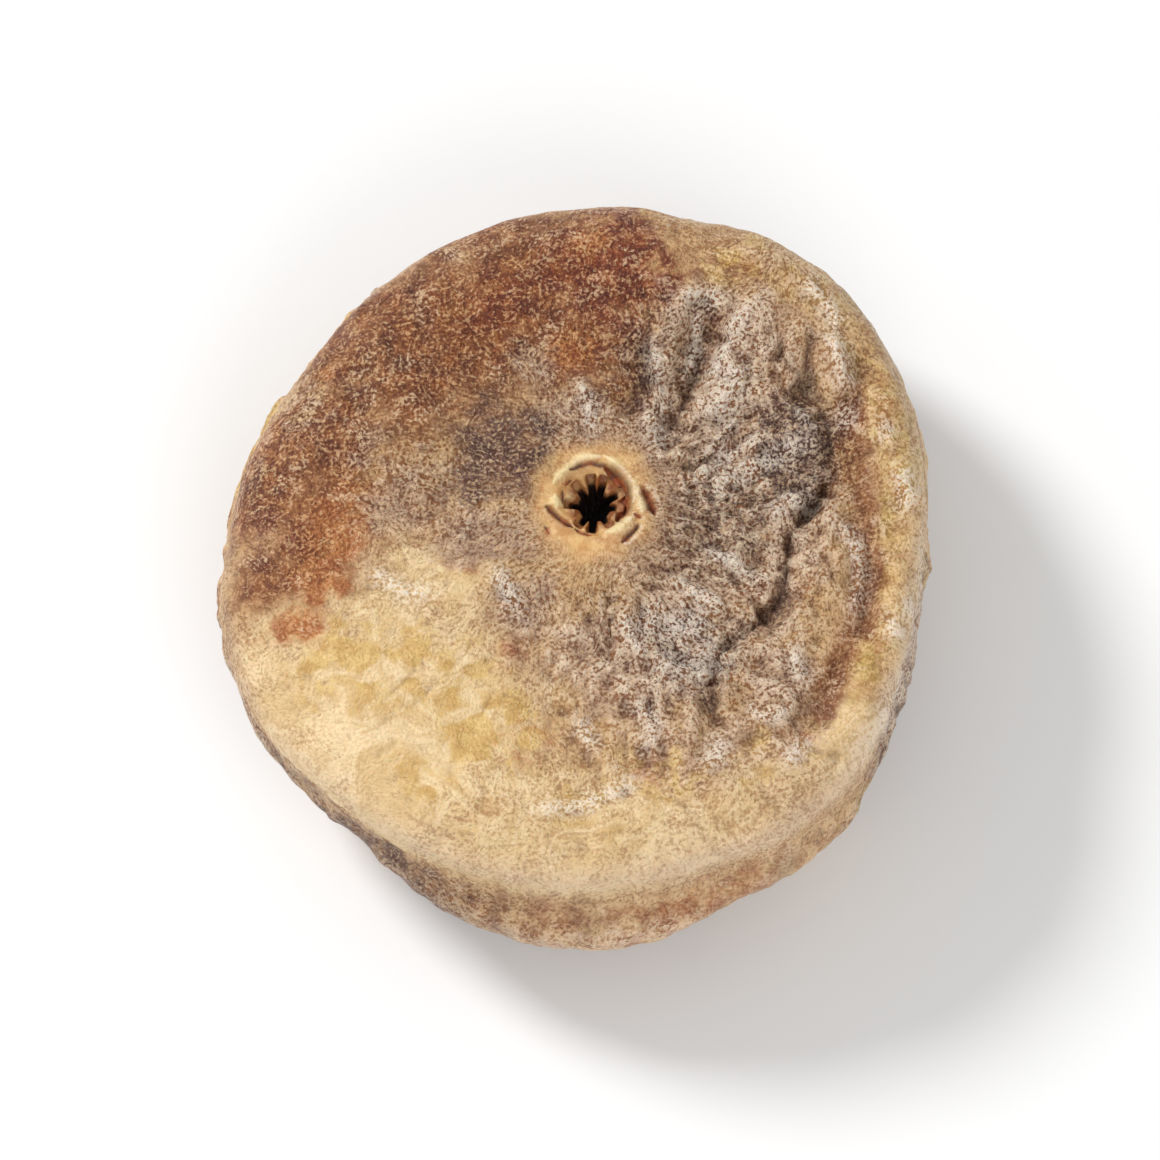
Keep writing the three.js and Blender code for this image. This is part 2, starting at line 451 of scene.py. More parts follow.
SCALES = [
    # route about the eye, height, width
    ([(0.8, -2.15), (1.65, -1.65), (2.4, -1.15)], 0.3, 0.36),
    ([(0.6, 3.05), (1.35, 2.5), (1.95, 1.75), (2.5, 0.9), (2.52, -0.1)], 0.22, 0.22),
    ([(2.85, 0.8), (2.95, 0.0), (3.05, -0.7)], 0.16, 0.3),
    ([(-1.3, 0.95), (-1.55, 0.2), (-1.35, -0.75)], 0.1, 0.2),
    ([(-2.6, 1.2), (-1.9, 2.1), (-0.9, 2.85), (0.3, 3.0)], 0.16, 0.25),
    ([(-2.5, 0.3), (-2.45, -0.35)], 0.14, 0.3),
]
eye_x, eye_y = x - EYE_AT[0], y - EYE_AT[1]
in_eye = on_face * (spun_radius < EYE_REACH)


def strokes(routes, brush):
    """The strongest stroke at each point: its depth or height, and its share from 0 to 1."""
    depth, share = np.zeros(count), np.zeros(count)
    sway = 0.09 * wobble(turned, 0.5, 81.0)
    for route, amount, width in routes:
        gap, along = off_trail(eye_x + sway, eye_y - sway, route)
        thick = width * (0.45 + 0.85 * band(along, 0.2, 0.8, 0.2))
        touch = brush(gap, thick) * in_eye
        depth = np.maximum(depth, amount * touch)
        share = np.maximum(share, touch)
    return depth, share


def open_eye(points):
    stretch = np.zeros(count)
    for at, reach in SLITS:
        lobe = ramp(facing(spun_angle, at, SLIT_SPREAD), 0.15, 0.85)
        stretch = np.maximum(stretch, (reach / HOLE - 1) * lobe)
    near = 1 - ramp(spun_radius, *SLIT_FADES)
    upper = ramp(spun_height, *SLIT_HEIGHTS)
    out = spun_radius * stretch * near * (0.35 + 0.65 * upper) * ramp(spun_radius, 0.2, 0.7)
    turn = np.radians(spun_angle)
    moved = points.copy()
    moved[:, 0] += out * np.cos(turn) * in_eye
    moved[:, 1] += out * np.sin(turn) * in_eye
    lift = -SLIT_SINK * stretch * band(spun_radius, 1.2, 2.0, 0.4)
    lift -= LIP_SINK * facing(spun_angle, **LIP_DIP) * band(spun_radius, 1.3, 2.0, 0.3)
    lift += scale_height - gap_depth
    moved[:, 2] += lift * in_eye
    return moved


gap_depth, gap_share = strokes(GAPS, swell)
scale_height, scale_share = strokes(SCALES, swell)
points = open_eye(points)
print("eye opens at", EYE_AT, "mm")

# %% [markdown]
# ## Wrinkles
# Drying shrinks the flesh and the skin gathers over it. On the wall the gathers and the thin
# cracks between them run from the face to the base, and on the sunken part of the face crinkles
# run out from the eye. All are noise drawn out along the fruit: the folded value of smooth
# noise has round backs and sharp valleys, as gathered skin does. A station is how far down the
# section a point lies, counted in points of the section.

# %% Wrinkle the skin
PLEATS = [
    # spacing, drift, seed
    (2.9, 10.0, 1.7), (1.7, 8.0, 5.1), (0.95, 5.0, 8.3),
]
# spacing, drift, seed, sway
WIDE_CRACKS = (2.4, 16.0, 61.0, 1.2)
THIN_CRACKS = (1.5, 12.0, 67.0, 1.0)
CRACK_DEPTH = 0.5
CRINKLES = [
    # spacing, drift, seed
    (2.4, 3.2, 44.0), (1.2, 1.8, 51.0),
]
LUMP_HEIGHT = 0.4
CRUMPLE_HEIGHT, CRUMPLE_MIDDLE = 0.16, 0.35
CRINKLED_CRUMPLE = 0.35
RIM_LUMPS = 0.35
# in stations
FACE_ENDS = (16.2, 17.6)
WALL_STARTS = (17.4, 20.2)
FRONT_ENDS = (20.5, 22.5)
WALL_ENDS = (24.5, 26)
KEEL_AT, TUCK_AT = 17.1, 18.6
KEEL_HEIGHT, TUCK_DEPTH = 0.45, 0.5
stretches = [math.dist(a, b) for a, b in zip(SECTION, SECTION[1:])]
down_skin = np.interp(station, range(len(SECTION)), np.cumsum([0] + stretches))


def gathers(spacing, drift, seed, sway=0.8):
    """Valleys at about that spacing at the rim, which drift slowly on their way down the fruit."""
    turn = np.radians(spun_angle) + sway / FACE_RADIUS * wobble(turned, 5.0, seed + 3)
    around = FACE_RADIUS / spacing
    space = np.column_stack((np.cos(turn) * around, np.sin(turn) * around, down_skin / drift))
    return wobble(space, 1.0, seed)


def rays(spacing, drift, seed):
    """Crinkles that run out from the eye, at about that spacing 10 mm away from it."""
    away = np.hypot(eye_x, eye_y)
    turn = np.radians(eye_angle) + 0.3 * wobble(turned, 2.6, seed + 3)
    around = 10 / spacing
    space = np.column_stack((np.cos(turn) * around, np.sin(turn) * around, away / drift))
    return wobble(space, 1.0, seed)


def find_cracks():
    """Long thin cracks down the wall, where slow noise crosses zero."""
    runs = ramp(layered(turned, 5.0, 2, 17.0), -0.25, 0.15)
    wide = swell(gathers(*WIDE_CRACKS), 0.12)
    thin = 0.8 * swell(gathers(*THIN_CRACKS), 0.14)
    lines = np.maximum(wide, thin)
    return lines * runs * ramp(station, 18.0, 19.4) * (1 - ramp(station, 23.5, 25.5))


def calm_front(share, spread, at=270):
    """1 all round, and less by that share on the upper wall at the front, which is smoother."""
    return 1 - share * facing(face_angle, at, spread) * (1 - ramp(station, *FRONT_ENDS))


def wrinkle(mesh, points):
    write_points(mesh, points)
    out = read_vectors(mesh, "normal")
    wide, middle, thin = (np.abs(gathers(*pleat)) for pleat in PLEATS)
    wall = ramp(station, *WALL_STARTS) * (1 - ramp(station, *WALL_ENDS))
    wall *= ramp(spun_height, -0.2, 1.6)
    patchy = np.clip(0.65 + 0.6 * layered(turned, 9.0, 2, 4.0), 0.1, 1.3)
    patchy *= calm_front(0.82, 75)
    lift = wall * patchy * (1.1 * wide ** 0.8 + 0.7 * middle + 0.5 * thin - 0.5)
    lift -= CRACK_DEPTH * cracks * calm_front(0.9, 70)
    lift += LUMP_HEIGHT * layered(turned, 8.0, 2, 12.0) * ramp(spun_radius, 5, 9)
    streaks = ramp(spun_radius, 7, 14) * (1 - ramp(station, *FACE_ENDS)) * on_face
    streaks = streaks * np.clip(0.5 + 1.2 * layered(turned, 4.0, 2, 27.0), 0, 1.2)
    lift += streaks * (0.3 * wide + 0.25 * middle - 0.12)
    crumple = np.abs(wobble(turned, 1.5, 20.0)) + 0.5 * np.abs(wobble(turned, 0.75, 31.0))
    lift += CRUMPLE_HEIGHT * (crumple - CRUMPLE_MIDDLE) * ramp(spun_radius, 4.2, 6.5)
    crinkled = facing(face_angle, 8, 62) * band(spun_radius, 6, 16.5, 2)
    crinkled += 0.45 * swell(np.hypot(x - 4, y + 6), 6)
    crinkled = np.clip(crinkled, 0, 1) * ramp(spun_radius, 4.4, 6.5) * on_face
    coarse, fine = (np.abs(rays(*crinkle)) for crinkle in CRINKLES)
    lift -= crinkled * (1.2 * coarse + 0.7 * fine - 0.45)
    lift += crinkled * CRINKLED_CRUMPLE * (crumple - CRUMPLE_MIDDLE)
    on_rim = facing(face_angle, 0, 60) * band(station, 14.6, 17.2, 0.8)
    lift += on_rim * RIM_LUMPS * layered(turned, 2.4, 2, 33.0)
    keel = swell(station - KEEL_AT, 0.55) * (0.35 + 0.65 * facing(face_angle, 285, 70))
    tuck = swell(station - TUCK_AT, 0.7) * facing(face_angle, 270, 75)
    lift += KEEL_HEIGHT * keel - TUCK_DEPTH * tuck
    return points + out * lift[:, None]


cracks = find_cracks()
points = wrinkle(fig.data, points)
print("wrinkled, height now", round(points[:, 2].max(), 2), "mm")

# %% [markdown]
# ## The stem end
# Underneath, the skin is drawn in round the cut stem in dark radial folds. The stem is a short
# round stub. The fig rests on the ring round this hollow, so the ring is pressed flat.

# %% Gather the stem end
STEM_RADIUS = 2.4
UNDERSIDE_ENDS = 5
RESTING_RADIUS = 17
SPOKE_HEIGHT = 1.5


def gather_stem(points):
    under = (spun_height < UNDERSIDE_ENDS) & (spun_radius < RESTING_RADIUS)
    turn = np.radians(spun_angle)
    space = np.column_stack((np.cos(turn) * 3.4, np.sin(turn) * 3.4, spun_radius / 9))
    spokes = np.abs(wobble(space, 1.0, 6.0))
    lift = SPOKE_HEIGHT * (spokes - 0.25) * band(spun_radius, 4.4, 12, 3)
    stub = spun_radius < STEM_RADIUS + 0.1
    lift += np.where(stub, 0.12 * wobble(turned, 0.6, 9.0), 0)
    moved = points.copy()
    moved[:, 2] -= lift * under
    moved[:, 2] = np.maximum(moved[:, 2], 0)
    return moved


points = gather_stem(points)
centre = (points.max(axis=0) + points.min(axis=0)) / 2
shift = np.array((centre[0], centre[1], 0))
points -= shift
tall = frame["record"]["size"]["bbox_m"][2] / MM
points[:, 2] *= tall / points[:, 2].max()
write_points(fig.data, points)
print("fig measures", np.round(np.ptp(points, axis=0), 2), "mm")

# %% [markdown]
# ## Hollows and backs
# Shade is painted into the valleys of the skin, and pale sugar on its backs, which there is also
# a painted highlight. To find them, a copy of the points is relaxed towards its neighbours. Where
# the relaxed copy lies above the skin there is a hollow, and where it lies below there is a back.
# Every point also keeps its combed place, a place in which the grain is drawn out along the
# lines that leave the eye.

# %% Measure hollows
CREASE_ROUNDS, FOLD_ROUNDS = 12, 120
COMB_AROUND, COMB_ALONG = 15, 2.0


def relax(mesh, points, times):
    pairs = np.empty(len(mesh.edges) * 2, dtype=np.int64)
    mesh.edges.foreach_get("vertices", pairs)
    a, b = pairs.reshape(-1, 2).T
    neighbours = np.bincount(np.concatenate((a, b)), minlength=count)[:, None]
    relaxed = points.copy()
    for _ in range(times):
        total = np.empty_like(relaxed)
        for axis in range(3):
            total[:, axis] = np.bincount(a, relaxed[b, axis], count)
            total[:, axis] += np.bincount(b, relaxed[a, axis], count)
        relaxed = 0.5 * relaxed + 0.5 * total / neighbours
    return relaxed


def depth_below(mesh, points, times):
    """Millimetres that each point lies below the relaxed skin."""
    risen = relax(mesh, points, times) - points
    return np.einsum("ij,ij->i", risen, read_vectors(mesh, "normal"))


def keep_value(mesh, name, values):
    kept = mesh.attributes.new(name, "FLOAT", "POINT")
    kept.data.foreach_set("value", np.asarray(values, dtype=np.float32))


crease_depth = depth_below(fig.data, points, CREASE_ROUNDS)
fold_depth = depth_below(fig.data, points, FOLD_ROUNDS)
# Painted shade: how deep a point lies in a crease or a valley, used later to darken its colour.
hollow_shade = ramp(crease_depth, 0.01, 0.1) * 0.6 + ramp(fold_depth, 0.05, 0.5) * 0.6
back = ramp(-crease_depth, 0.005, 0.06)
keep_value(fig.data, "hollow_shade", np.clip(hollow_shade, 0, 1))
keep_value(fig.data, "back", back)
away = np.hypot(eye_x, eye_y)
turn = np.radians(eye_angle) + 0.22 * wobble(turned, 2.4, 64.0)
combed = np.column_stack((np.cos(turn) * COMB_AROUND, np.sin(turn) * COMB_AROUND,
                          away / COMB_ALONG))
kept = fig.data.attributes.new("combed", "FLOAT_VECTOR", "POINT")
kept.data.foreach_set("vector", combed.astype(np.float32).ravel())
print("hollows down to", round(fold_depth.max(), 2), "mm, creases", round(crease_depth.max(), 2))

# %% [markdown]
# ## Lay the skin out flat
# A flat layout of the skin lets its colours be printed on a picture. The top opens out as one
# disc round the eye and the underside as a smaller one round the stem, cut along the girth.
# How far a point lies down the skin becomes its distance from the middle of its disc, so
# nothing is squeezed.

# %% Unroll the skin
GIRTH = 19
# middle across, middle up, radius
TOP_DISC = (0.36, 0.64, 0.345)
BASE_DISC = (0.785, 0.215, 0.2)


def unroll(mesh):
    corners = np.empty(len(mesh.loops), dtype=np.int64)
    mesh.loops.foreach_get("vertex_index", corners)
    sizes = np.empty(len(mesh.polygons), dtype=np.int64)
    mesh.polygons.foreach_get("loop_total", sizes)
    face_of = np.repeat(np.arange(len(sizes)), sizes)
    middle = np.bincount(face_of, station[corners]) / sizes
    above = (middle < GIRTH)[face_of]
    girth = np.interp(GIRTH, range(len(SECTION)), np.cumsum([0] + stretches))
    from_eye = down_skin[corners] / girth
    from_stem = (sum(stretches) - down_skin[corners]) / (sum(stretches) - girth)
    reach = np.where(above, from_eye * TOP_DISC[2], from_stem * BASE_DISC[2])
    turn = np.radians(spun_angle[corners]) * np.where(above, 1, -1)
    u = np.where(above, TOP_DISC[0], BASE_DISC[0]) + reach * np.cos(turn)
    v = np.where(above, TOP_DISC[1], BASE_DISC[1]) + reach * np.sin(turn)
    layer = mesh.uv_layers.new(name="OFBake")
    layer.data.foreach_set("uv", np.column_stack((u, v)).ravel())
    return above


above = unroll(fig.data)
print("unrolled,", round(float(above.mean()), 2), "of the corners on the top disc")

# %% [markdown]
# ## Where each colour lies
# The skin dried unevenly. It is brown and rusty where it lay in the sun, cream where it stayed
# plump, grey with sugar bloom where it sank, and amber where the edge is thin. Each colour is a
# mask on the skin, made of soft ovals whose edges wander. A few of the ovals are painted shade,
# and one is painted light. The rim and the painted shade of the creases take theirs from the
# same routes that folded them.

# %% Lay out the patches
PATCHES = {
    # middle, half sizes, turn in degrees, strength
    "cream": [
        ((-11.2, -12.0), (13.0, 9.6), -38, 1.0), ((0.5, -19.5), (16.0, 6.0), 6, 0.7),
        ((11.5, -16.5), (7.0, 3.6), 35, 0.6), ((17.2, -12.8), (3.0, 4.0), 0, 0.9),
        ((-9.8, -2.2), (6.2, 3.6), 8, 0.8), ((-2.0, -9.5), (4.0, 4.0), 0, 0.5),
    ],
    "brown": [
        ((-7.5, 15.0), (14.0, 8.5), 30, 1.0), ((19.6, 10.8), (1.5, 3.0), 25, 0.35),
        ((1.5, 15.5), (7.0, 8.0), 0, 0.9), ((-16.5, 7.0), (6.0, 8.0), -10, 0.9),
        ((-18.6, -1.6), (4.0, 4.2), 0, 0.75), ((17.6, 6.8), (1.5, 4.0), 0, 0.8),
        # The brown oval at (-20.4, 6.0), on the left edge, is painted shade.
        ((8.2, 14.0), (1.0, 3.4), -14, 0.6), ((-20.4, 6.0), (3.6, 6.5), 0, 1.0),
        ((10.5, 19.5), (5.0, 2.5), -35, 0.5),
    ],
    "rust": [
        ((2.8, 19.0), (6.0, 5.0), 0, 1.0), ((-4.6, 16.6), (4.6, 3.0), 20, 0.8),
        ((0.0, 13.4), (3.4, 2.8), 0, 0.6), ((-15.4, 1.2), (3.4, 5.4), -14, 0.8),
        ((-19.6, 2.0), (1.6, 5.0), 0, 0.5),
    ],
    "orange": [
        ((-15.0, 1.6), (2.6, 4.8), -14, 0.9), ((-17.4, -5.6), (2.0, 1.7), 10, 1.0),
        ((-16.4, -2.4), (2.2, 2.4), 0, 0.85), ((-0.2, 13.4), (2.2, 2.0), 0, 0.75),
        ((1.2, 20.8), (1.6, 1.1), 0, 0.7), ((-4.0, -7.0), (1.9, 1.2), -20, 0.6),
        ((-7.4, -1.4), (1.9, 0.6), -15, 0.55), ((-20.0, 8.0), (1.2, 2.6), -25, 0.6),
        ((-16.2, 12.2), (1.0, 0.7), 20, 0.7), ((4.6, -15.2), (1.6, 1.8), 0, 0.55),
        ((-3.0, -13.4), (3.4, 2.6), 30, 0.35), ((17.4, 6.2), (1.5, 3.4), 5, 0.75),
        ((18.4, -2.6), (0.9, 3.0), 8, 0.6), ((15.4, -11.6), (1.2, 3.4), -25, 0.7),
    ],
    "taupe": [
        ((-9.8, 4.6), (5.4, 3.0), -12, 0.55), ((-11.8, 2.6), (3.4, 2.8), 0, 0.65),
        ((-17.6, 9.8), (3.8, 2.2), 42, 0.4), ((-2.6, 12.8), (1.6, 2.4), -10, 0.55),
        ((-5.6, 0.8), (4.8, 3.0), 0, 0.75), ((9.5, 3.0), (9.0, 12.0), 0, 1.0),
        ((4.5, -7.5), (8.5, 5.0), 0, 0.95), ((9.5, 12.5), (6.8, 5.8), 30, 0.9),
        ((0.5, 8.4), (4.6, 2.8), 0, 0.75), ((13.2, -9.0), (3.6, 4.0), 0, 0.8),
        ((7.4, -13.2), (9.0, 4.4), 8, 0.5), ((-3.6, -4.0), (3.2, 3.0), 0, 0.85),
    ],
    "lilac": [
        ((-4.8, 6.0), (4.8, 4.4), 25, 0.8), ((-7.8, 6.2), (2.8, 2.2), 0, 0.3),
        ((-12.6, 11.6), (3.6, 2.2), 30, 0.32), ((-19.2, 4.6), (1.8, 2.6), 0, 0.32),
        ((14.2, 6.4), (3.1, 4.8), 10, 1.0), ((-5.8, 0.8), (3.4, 2.2), 0, 0.4),
        ((5.2, 12.6), (1.6, 3.0), 10, 0.5), ((10.0, 1.0), (4.8, 3.8), 0, 0.55),
        ((6.8, -5.8), (5.2, 2.6), -15, 0.5), ((9.0, -9.0), (3.0, 3.4), 0, 0.45),
        ((-3.6, -3.4), (1.8, 1.8), 0, 0.5), ((6.6, 13.6), (1.4, 2.6), 0, 0.5),
    ],
    "straw": [
        ((-14.0, -8.2), (4.4, 4.0), 0, 0.8), ((-8.4, -8.6), (5.2, 2.8), -20, 1.0),
        ((-5.4, -12.4), (5.0, 3.8), -40, 0.9), ((6.5, -14.6), (5.0, 3.4), 0, 0.8),
        ((11.0, -14.6), (3.0, 2.4), 30, 0.8), ((0.8, -17.6), (3.4, 3.0), 0, 0.6),
        ((11.0, 18.2), (4.4, 2.6), -30, 0.7), ((-17.8, 10.0), (4.0, 2.6), 42, 0.42),
        ((3.4, -7.4), (0.6, 0.6), 0, 0.9), ((-9.0, -16.5), (5.0, 2.0), -40, 0.6),
    ],
}
WALL_PATCHES = {
    # direction in degrees and height, half sizes, strength
    "cream": [
        # The first cream oval, low on the front of the wall, is painted light where the lamps leave
        # that wall in shade.
        ((284, 9), (13, 5), 0.45), ((15, 11), (12, 3), 0.5), ((120, 10), (7, 4), 0.5),
    ],
    "straw": [
        ((12, 7), (13, 6), 1.0), ((150, 8), (14, 6), 1.0), ((228, 6), (6, 5), 0.9),
        ((322, 6), (7, 5), 0.8), ((85, 9), (7, 4), 0.8),
    ],
    "brown": [
        ((243, 8), (6, 4), 0.5), ((288, 4), (8, 3), 0.4), ((60, 5), (10, 6), 0.9),
        ((190, 5), (9, 6), 0.8), ((345, 3), (8, 4), 0.8), ((115, 3), (9, 4), 0.7),
        ((250, 3), (8, 4), 0.8),
    ],
    "orange": [
        ((284, 9), (13, 4.5), 0.6), ((262, 9), (6, 3), 0.5), ((20, 6), (6, 3), 0.3),
    ],
    "rust": [
        ((286, 8), (7, 3), 0.3), ((172, 9), (6, 4), 0.5),
    ],
    "taupe": [
        ((270, 8), (16, 5), 0.4), ((340, 9), (9, 5), 0.9), ((105, 10), (9, 4), 0.8),
        ((205, 8), (8, 5), 0.8), ((45, 10), (8, 4), 0.6),
    ],
    "lilac": [
        # The first lilac oval, on the wall at the front left, is painted shade.
        ((232, 8), (11, 5), 0.7), ((40, 4), (9, 4), 0.5), ((330, 7), (5, 5), 0.6),
    ],
}
LINES = 6
WALL_EDGE = (17.75, 18.2)
AMBER_WIDTHS = (1.3, 2.6)
FURROW_SHARE, FURROW_WIDTH = 0.85, 1.5
LINE_WIDTH = 0.32
BOSS_EDGE = (3.2, 5.0)
PIT_EDGE, PIT_HEIGHTS = (0.95, 1.2), (12.7, 13.5)
THROAT = (0.9, 1.6, 0.35)
STUB_EDGE = (2.5, 2.9)
UNDER_EDGE, UNDER_HEIGHTS = (10, 18), (4.5, 6.0)
FAR_AWAY = 99


def fade(gap, seed):
    """1 in the middle of an oval, 0 outside it, with an edge that wanders."""
    return 1 - ramp(gap + 0.3 * layered(turned, 3.2, 3, seed), 0.15, 1.45)


def patch(middle, size, turn, seed):
    dx, dy = x - middle[0], y - middle[1]
    c, s = math.cos(math.radians(turn)), math.sin(math.radians(turn))
    return fade(np.hypot((dx * c + dy * s) / size[0], (dy * c - dx * s) / size[1]), seed)


def wall_patch(middle, size, seed):
    along = FACE_RADIUS * np.radians((spun_angle - middle[0] + 180) % 360 - 180)
    return fade(np.hypot(along / size[0], (spun_height - middle[1]) / size[1]), seed)


def lay_out(mesh):
    wall = ramp(station + 0.35 * wobble(turned, 2.5, 60.0), *WALL_EDGE)
    masks = {"wall": wall}
    for i, (name, ovals) in enumerate(PATCHES.items()):
        mask = np.zeros(count)
        for j, (middle, size, turn, strength) in enumerate(ovals):
            oval = patch(middle, size, turn, 40 + 7 * i + 1.3 * j)
            mask = np.maximum(mask, strength * (1 - wall) * oval)
        for j, (middle, size, strength) in enumerate(WALL_PATCHES.get(name, [])):
            oval = wall_patch(middle, size, 140 + 7 * i + 1.3 * j)
            mask = np.maximum(mask, strength * wall * oval)
        masks[name] = mask
    rim_gap, along = off_trail(x, y, RIM)
    ends = ramp(along, 0, 0.06) * (1 - ramp(along, 0.72, 0.95))
    ends *= 0.5 + 0.5 * ramp(along, 0.25, 0.5)
    rim_gap = rim_gap + 0.7 * wobble(turned, 2.0, 70.0)
    masks["amber"] = (1 - ramp(rim_gap, *AMBER_WIDTHS)) * ends * (1 - ramp(station, 17.6, 18.4))
    furrow_gap, along = off_trail(x, y, FURROW)
    furrow_run = band(along, 0.2, 0.78, 0.18)
    furrow_gap = furrow_gap + 0.5 * wobble(turned, 1.5, 66.0)
    masks["furrow"] = FURROW_SHARE * swell(furrow_gap, FURROW_WIDTH) * furrow_run
    # Painted shade along the creases.
    crease_shade = np.zeros(count)
    for route, depth, _ in CREASES[:LINES]:
        gap, along = off_trail(x, y, route)
        gap = gap + 0.12 * wobble(turned, 0.8, 90.0)
        crease_shade = np.maximum(crease_shade, depth * swell(gap, LINE_WIDTH) * taper(along, 0.35, 0.8))
    masks["crease_shade"] = np.clip(crease_shade, 0, 1)
    # Pale strokes along the crusts: partly the fig's own sugar, partly painted highlight.
    crust_highlight = np.zeros(count)
    for route, _, width in CRUSTS:
        gap, along = off_trail(x, y, route)
        gap = gap + 0.25 * wobble(turned, 0.7, 95.0)
        crust_highlight = np.maximum(crust_highlight, swell(gap, 1.6 * width) * (0.3 + 0.7 * taper(along, 0.2, 0.8)))
    masks["crust_highlight"] = crust_highlight * on_face
    # Painted shade in the cracks down the wall.
    masks["crack_shade"] = cracks * calm_front(0.75, 50, 272)
    masks["keel"] = swell(station - 17.2, 0.6) * facing(face_angle, 300, 75)
    eye_gap = np.where(on_face > 0.5, spun_radius, FAR_AWAY)
    masks["boss"] = 1 - ramp(eye_gap + 0.5 * wobble(turned, 1.2, 77.0), *BOSS_EDGE)
    # Painted shade in the hole of the eye.
    masks["pit_shade"] = (1 - ramp(eye_gap, *PIT_EDGE)) * (1 - ramp(spun_height, *PIT_HEIGHTS))
    masks["throat"] = band(eye_gap, *THROAT)
    masks["gap"] = gap_share
    masks["scale"] = scale_share
    stem_gap = np.where(spun_height < UNDERSIDE_ENDS, spun_radius, FAR_AWAY)
    masks["stub"] = 1 - ramp(stem_gap, *STUB_EDGE)
    ragged = spun_radius + 2.6 * layered(turned, 5.0, 3, 120.0)
    masks["under"] = (1 - ramp(ragged, *UNDER_EDGE)) * (1 - ramp(spun_height, *UNDER_HEIGHTS))
    for name, mask in masks.items():
        keep_value(mesh, name, mask)
    return masks


masks = lay_out(fig.data)
print("masks:", {name: round(float(mask.mean()), 3) for name, mask in masks.items()})

# %% [markdown]
# ## Skin
# The finish is built like the skin: a mottled tan ground, the coloured patches over it, then
# the dark of the grain, painted shade in the hollows, and the sugar that came out of the fruit as
# it dried, which on the backs of the wrinkles and along the crusts is also a painted highlight.
# Last come painted shade in the creases, the cracks and the hole of the eye, and the red brown
# round the eye. Every pattern reads the fig's own coordinates in millimetres, so it stays put
# from any side.

# %% Node helpers
skin = bpy.data.materials.new("skin")
skin.use_nodes = True
nodes, links = skin.node_tree.nodes, skin.node_tree.links
shader = nodes["Principled BSDF"]


def plug(value, socket):
    if isinstance(value, bpy.types.NodeSocket):
        links.new(value, socket)
    else:
        socket.default_value = value


def paint(red, green, blue):
    """A colour given as screen values from 0 to 255, made linear."""
    parts = [c / 255 for c in (red, green, blue)]
    return tuple(c / 12.92 if c < 0.04045 else ((c + 0.055) / 1.055) ** 2.4 for c in parts) + (1,)


def work(operation, a, b=0.0):
    node = nodes.new("ShaderNodeMath")
    node.operation = operation
    plug(a, node.inputs[0])
    plug(b, node.inputs[1])
    return node.outputs[0]


def step(value, low, high, to_low=0.0, to_high=1.0):
    node = nodes.new("ShaderNodeMapRange")
    node.interpolation_type = "SMOOTHSTEP"
    settings = {"Value": value, "From Min": low, "From Max": high,
                "To Min": to_low, "To Max": to_high}
    for name, number in settings.items():
        plug(number, node.inputs[name])
    return node.outputs["Result"]


def blend(share, below, above, mode="MIX"):
    node = nodes.new("ShaderNodeMix")
    node.data_type = "RGBA"
    node.blend_type = mode
    plug(share, node.inputs[0])
    plug(below, node.inputs[6])
    plug(above, node.inputs[7])
    return node.outputs[2]


def mask(name):
    node = nodes.new("ShaderNodeAttribute")
    node.attribute_name = name
    return node.outputs["Fac"]


place = nodes.new("ShaderNodeTexCoord").outputs["Object"]
in_mm = nodes.new("ShaderNodeMapping")
in_mm.inputs["Scale"].default_value = (1 / MM, 1 / MM, 1 / MM)
plug(place, in_mm.inputs["Vector"])
in_mm = in_mm.outputs["Vector"]


def mottle(size, detail=2.0, rough=0.55, twist=0.0, where=None):
    node = nodes.new("ShaderNodeTexNoise")
    plug(where or in_mm, node.inputs["Vector"])
    plug(1 / size, node.inputs["Scale"])
    plug(detail, node.inputs["Detail"])
    plug(rough, node.inputs["Roughness"])
    plug(twist, node.inputs["Distortion"])
    return node.outputs["Fac"]


print("node helpers ready")

# %% Colour of the skin
wide_mottle = mottle(4.5, 3)
mid_mottle = mottle(1.4, 3, 0.6)
spots = mottle(1.9, 1, 0.5, 0.6)
combed_place = nodes.new("ShaderNodeAttribute")
combed_place.attribute_name = "combed"
combed_place = combed_place.outputs["Vector"]
combed_grain = mottle(0.36, 2, 0.6, 0.3, combed_place)
even_grain = mottle(0.22, 2, 0.55, 0.35)
fine_grain = mottle(0.13, 2, 0.6, 0.3)


def scaled(value, amount):
    return work("MULTIPLY", value, amount)


def centred(value, amount):
    """Noise round 0 instead of round a half, of that strength."""
    return work("MULTIPLY", work("SUBTRACT", value, 0.5), amount)


grain = work("ADD", 0.5, work("ADD", centred(combed_grain, 0.5), centred(even_grain, 0.85)))
edge_grain = work("ADD", centred(mid_mottle, 1.1), centred(grain, 1.0))
colours = {
    "wall": (paint(218, 180, 134), paint(190, 148, 106)),
    "cream": (paint(238, 211, 164), paint(219, 186, 132)),
    "brown": (paint(158, 94, 42), paint(128, 72, 32)),
    "rust": (paint(152, 72, 18), paint(118, 50, 10)),
    "straw": (paint(220, 186, 116), paint(204, 164, 96)),
    "orange": (paint(196, 128, 66), paint(172, 104, 50)),
    "taupe": (paint(207, 174, 146), paint(178, 142, 115)),
    "lilac": (paint(138, 102, 88), paint(112, 80, 68)),
    "furrow": (paint(178, 126, 80), paint(156, 100, 56)),
    "amber": (paint(218, 181, 120), paint(178, 130, 68)),
}
